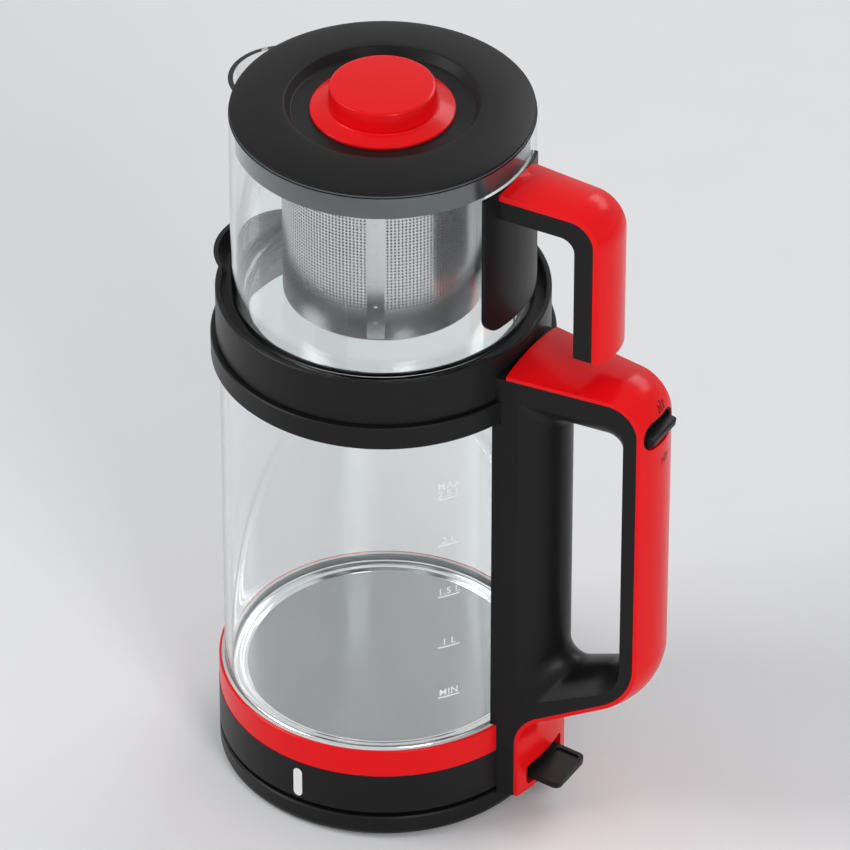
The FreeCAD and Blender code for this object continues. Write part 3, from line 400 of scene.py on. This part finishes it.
shell_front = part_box("handle_shell")[1].x
sign_start = 0.002
sign_aside = 0.003
sign_stroke = 0.0009
sign_sway = 0.00045
sign_lift = 0.00004
signs = [("boil", -0.0023, 0.2487, 0.0036), ("boil", 0.0000, 0.2492, 0.0046),
         ("boil", 0.0023, 0.2487, 0.0036), ("warm", -0.0023, 0.2206, 0.0036),
         ("warm", 0.0000, 0.2211, 0.0048), ("warm", 0.0023, 0.2206, 0.0036)]
for count, (sign, across, height, tall) in enumerate(signs):
    stroke = flat_grid("sign_" + sign + "_" + str(count), 2, 14)
    for vertex in stroke.data.vertices:
        sway = sign_sway * math.sin(vertex.co.y * 2 * math.pi)
        vertex.co = (shell_front + sign_start, across + sign_aside + vertex.co.x * sign_stroke + sway,
                     height + vertex.co.y * tall)
    stroke.data.flip_normals()
    lay = stroke.modifiers.new("lay", "SHRINKWRAP")
    lay.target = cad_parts["handle_shell"]
    lay.wrap_method = "PROJECT"
    lay.use_project_x = True
    lay.use_project_y = False
    lay.use_project_z = False
    lay.use_negative_direction = True
    lay.use_positive_direction = False
    lay.offset = sign_lift
    bpy.context.view_layer.objects.active = stroke
    bpy.ops.object.modifier_apply(modifier="lay")
    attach(stroke, "kettle")
    settle(stroke, print_black)

# Power lever: a black paddle under the handle with a raised rim, on a steel pin between two ears of
# the foot's cover, with the switch behind it.

dress(black_satin, "power_lever", "lever_bracket", "lever_switch")
dress(screw_steel, "lever_pin")

# Teapot: a thin blown glass jar with a pouring lip, with the black pad of its handle bonded to the
# wall, and the handle's black core and red shell drawn against the pad by a stud.

dress(clear_glass, "teapot_glass")
dress(black_satin, "teapot_plate", "teapot_handle_core")
dress(red_gloss, "teapot_handle_shell")
dress(screw_steel, "teapot_screw")

# Infuser basket: thin stainless sheet punched with straight rows of small holes, rolled up and spot
# welded along an overlap, with a plain band and a pressed floor at the bottom.

basket_steel = grained("basket_steel", ((0.6, 0.6, 0.61), (0.74, 0.74, 0.75)), (0.18, 0.32),
                       0.0016, 0.000003, metallic=1.0, stretch=(1, 1, 0.1))

basket_low, basket_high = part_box("basket_side")
basket_radius = basket_high.x
sheet_thick = 0.0005
sheet_inner = basket_radius - sheet_thick
band_top = 0.2845
rim_tall = 0.0018
holes_top = basket_high.z - rim_tall
hole_pitch = 0.0017
hole_web = 0.00036
hole_corner = 0.00026
hole_sides = 8
hole_columns = round(2 * math.pi * basket_radius / hole_pitch)
seam_turn = math.radians(-63)
seam_half = 0.0040 / basket_radius

basket_band = turned("basket_band", [
    (basket_radius, basket_low.z), (basket_radius, band_top), (sheet_inner, band_top),
    (sheet_inner, basket_low.z)], "basket", hole_columns)
settle(basket_band, basket_steel)
basket_rim = turned("basket_rim", [
    (basket_radius, holes_top), (basket_radius, basket_high.z), (sheet_inner, basket_high.z),
    (sheet_inner, holes_top)], "basket", hole_columns)
settle(basket_rim, basket_steel)
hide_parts("basket_side")


def walled(piece, thickness):
    """Gives a sheet its thickness, inwards from the face that is seen."""
    wall = piece.modifiers.new("wall", "SOLIDIFY")
    wall.thickness = thickness
    wall.offset = -1
    bpy.context.view_layer.objects.active = piece
    bpy.ops.object.modifier_apply(modifier="wall")


rows = round((holes_top - band_top) / hole_pitch)
row_height = (holes_top - band_top) / rows
third = rows // 3
for part, first, last in (("lower", 0, third), ("middle", third, 2 * third), ("upper", 2 * third, rows)):
    levels = [(basket_radius, band_top + row_height * row) for row in range(first, last + 1)]
    mesh_wall = turned("basket_holes_" + part, levels, "basket", hole_columns, closed=False)
    bpy.ops.object.mode_set(mode="EDIT")
    bpy.ops.mesh.select_all(action="DESELECT")
    bpy.ops.mesh.select_mode(type="FACE")
    sheet = bmesh.from_edit_mesh(mesh_wall.data)
    for face in sheet.faces:
        centre = face.calc_center_median()
        away = abs(math.remainder(math.atan2(centre.y, centre.x) - seam_turn, 2 * math.pi))
        face.select_set(away > seam_half)
    bmesh.update_edit_mesh(mesh_wall.data)
    bpy.ops.mesh.inset(thickness=hole_web, use_individual=True)
    bpy.ops.mesh.bevel(affect="VERTICES", offset=hole_corner, segments=1)
    sheet = bmesh.from_edit_mesh(mesh_wall.data)
    for face in sheet.faces:
        face.select_set(len(face.verts) == hole_sides)
    bmesh.update_edit_mesh(mesh_wall.data)
    bpy.ops.mesh.delete(type="FACE")
    bpy.ops.object.mode_set(mode="OBJECT")
    walled(mesh_wall, sheet_thick)
    settle(mesh_wall, basket_steel)

lap_thick = 0.0003
lap_radius = basket_radius + lap_thick
seam_lap = flat_grid("seam_lap", 8, 1)
for vertex in seam_lap.data.vertices:
    turn = seam_turn + vertex.co.x * 2 * seam_half
    height = basket_low.z + (vertex.co.y + 0.5) * (basket_high.z - basket_low.z)
    vertex.co = round_axis(lap_radius, turn, height)
walled(seam_lap, lap_thick)
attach(seam_lap, "basket")
settle(seam_lap, basket_steel, 0.0001, 2)

weld_radius = 0.0009
weld_flatness = 0.25
weld_heights = (0.2770, 0.2860, 0.3010, 0.3160, 0.3310, 0.3440)
for count, height in enumerate(weld_heights):
    bpy.ops.object.select_all(action="DESELECT")
    bpy.ops.mesh.primitive_uv_sphere_add(segments=16, ring_count=8, radius=weld_radius)
    weld = bpy.context.object
    weld.name = "seam_weld_" + str(count)
    weld.scale = (weld_flatness, 1, 1)
    weld.rotation_euler = (0, 0, seam_turn)
    weld.location = round_axis(lap_radius, seam_turn, height)
    bpy.ops.object.transform_apply(location=True, rotation=True, scale=True)
    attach(weld, "basket")
    settle(weld, basket_steel)

dress(basket_steel, "basket_floor", "basket_seam")

# Carrier ring: the slate moulding that hangs the basket from the teapot's rim, smoother than the
# black parts and seen through the glass under the lid.

slate_smooth = grained("slate_smooth", ((0.064, 0.070, 0.074), (0.078, 0.085, 0.09)), (0.26, 0.34),
                       0.004, 0.000004)
dress(slate_smooth, "carrier_ring")

# Lid: a shallow black dome with a sunk middle, a skirt inside the carrier ring, and a glossy red knob
# of two turned pieces held by a screw from below.

lid_satin = grained("lid_satin", ((0.008, 0.0077, 0.0072), (0.012, 0.0115, 0.011)), (0.32, 0.44),
                    0.0005, 0.00003, specular=0.12)
lid_low, lid_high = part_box("lid_disc")
lid_radius = lid_high.x
lid_seat = lid_low.z + 0.0025
lid_edge = 0.0009
under_radius = 0.0474
under_slope = 0.0021
crest_radius = 0.0448
recess_radius = 0.0420
recess = lid_high.z - 0.0042
dome_steps = 8
dome_fullness = 0.85
dome_rise = lid_high.z - lid_seat - lid_edge
dome = [(lid_radius, lid_seat), (lid_radius, lid_seat + lid_edge)]
for step in range(1, dome_steps + 1):
    part = step / dome_steps
    dome.append((lid_radius + (crest_radius - lid_radius) * part,
                 lid_seat + lid_edge + dome_rise * math.sin(part * math.pi / 2) ** dome_fullness))
lid_cover = turned("lid_cover", [
    (0, lid_low.z), (under_radius, lid_low.z), (under_radius + under_slope, lid_seat)] + dome + [
    (recess_radius, recess), (0, recess)], "lid")
settle(lid_cover, lid_satin, 0.0005)
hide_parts("lid_disc")
dress(black_satin, "lid_skirt")
dress(screw_steel, "knob_screw")

flange_low, flange_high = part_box("knob_base")
flange_radius = flange_high.x
neck_radius = 0.0251
knob_flange = turned("knob_flange", [
    (0, flange_low.z), (flange_radius, flange_low.z), (flange_radius, flange_low.z + 0.0012),
    (flange_radius - 0.0008, flange_low.z + 0.0017), (neck_radius + 0.0008, flange_high.z - 0.0004),
    (neck_radius + 0.0006, flange_high.z), (0, flange_high.z)], "lid")
settle(knob_flange, red_gloss, 0.0003)
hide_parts("knob_base")

cap_low, cap_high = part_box("knob_cap")
cap_top = cap_high.z
brow_radius = 0.0243
knob_top = turned("knob_top", [
    (0, cap_low.z), (neck_radius - 0.0004, cap_low.z), (neck_radius, cap_low.z + 0.0004),
    (neck_radius - 0.0001, cap_low.z + 0.0012), (brow_radius, cap_top - 0.0010),
    (brow_radius - 0.0003, cap_top - 0.0004), (brow_radius - 0.0009, cap_top - 0.0001),
    (brow_radius - 0.0016, cap_top), (0, cap_top)], "lid")
settle(knob_top, red_gloss, 0.0002)
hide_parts("knob_cap")

# Table: a plain pale sheet under and around the appliance, with little gloss. It is the floor of the
# studio and no part of the appliance.

table_size = 14
bpy.ops.object.select_all(action="DESELECT")
bpy.ops.mesh.primitive_plane_add(size=table_size, location=(0, 0, 0))
table = bpy.context.object
table.name = "table"
table_pale = grained("table_pale", ((0.79, 0.79, 0.79), (0.81, 0.81, 0.81)), (0.6, 0.7), 0.01, 0.00001,
                     specular=0.08)
table.data.materials.append(table_pale)

# Light: a pale room that the camera, glass and gloss see brighter than it lights, with a large soft
# lamp high on the left, a narrower one on the right and a weaker one behind.

room = bpy.data.worlds.new("room")
bpy.context.scene.world = room
room.use_nodes = True
tree = room.node_tree
glow = tree.nodes["Background"]
glow.inputs["Color"].default_value = (0.93, 0.95, 1.0, 1.0)
glow.inputs["Strength"].default_value = 0.42
pale = tree.nodes.new("ShaderNodeBackground")
pale.inputs["Color"].default_value = (0.84, 0.84, 0.85, 1.0)
pale.inputs["Strength"].default_value = 1.0
path = tree.nodes.new("ShaderNodeLightPath")
seen = tree.nodes.new("ShaderNodeMath")
seen.operation = "MAXIMUM"
tree.links.new(path.outputs["Is Camera Ray"], seen.inputs[0])
tree.links.new(path.outputs["Is Transmission Ray"], seen.inputs[1])
mirrored = tree.nodes.new("ShaderNodeMath")
mirrored.operation = "MAXIMUM"
tree.links.new(seen.outputs["Value"], mirrored.inputs[0])
tree.links.new(path.outputs["Is Glossy Ray"], mirrored.inputs[1])
blend = tree.nodes.new("ShaderNodeMixShader")
tree.links.new(mirrored.outputs["Value"], blend.inputs["Fac"])
tree.links.new(glow.outputs["Background"], blend.inputs[1])
tree.links.new(pale.outputs["Background"], blend.inputs[2])
tree.links.new(blend.outputs["Shader"], tree.nodes["World Output"].inputs["Surface"])

lamp_aim = Vector((0.01, 0.0, 0.19))
lamps = [("lamp_left", (-1.5, -1.1, 1.7), 1.1, 1.1, 24.0),
         ("lamp_right", (1.5, -1.1, 1.1), 0.6, 1.3, 18.0),
         ("lamp_back", (0.2, 1.7, 1.5), 1.4, 0.6, 12.0)]
for name, stand, wide, tall, power in lamps:
    bulb = bpy.data.lights.new(name, "AREA")
    bulb.shape = "RECTANGLE"
    bulb.size = wide
    bulb.size_y = tall
    bulb.energy = power
    lamp = bpy.data.objects.new(name, bulb)
    lamp.location = stand
    lamp.rotation_euler = (lamp_aim - Vector(stand)).to_track_quat("-Z", "Y").to_euler()
    bpy.context.scene.collection.objects.link(lamp)

# Camera: a long lens, seen from the front right and well above, placed by the ellipses of the lid,
# the collar and the base in the photograph.

camera_turn = math.radians(31)
camera_lift = math.radians(36.66)
camera_reach = 3.726
aim_aside = 0.01911
aim_height = 0.1845
sensor_width = 36
focal_pixels = 8000
picture_pixels = 850
right = Vector((math.cos(camera_turn), math.sin(camera_turn), 0))
aim = right * aim_aside + Vector((0, 0, aim_height))
ahead = Vector((-math.sin(camera_turn) * math.cos(camera_lift),
                math.cos(camera_turn) * math.cos(camera_lift), -math.sin(camera_lift)))
eye = bpy.data.cameras.new("eye")
eye.sensor_width = sensor_width
eye.lens = sensor_width * focal_pixels / picture_pixels
eye.clip_start = 0.1
eye.clip_end = 60
camera = bpy.data.objects.new("camera", eye)
camera.location = aim - ahead * camera_reach
camera.rotation_euler = ahead.to_track_quat("-Z", "Y").to_euler()
bpy.context.scene.collection.objects.link(camera)
bpy.context.scene.camera = camera
bpy.context.scene.view_settings.view_transform = "Standard"

bpy.context.view_layer.update()
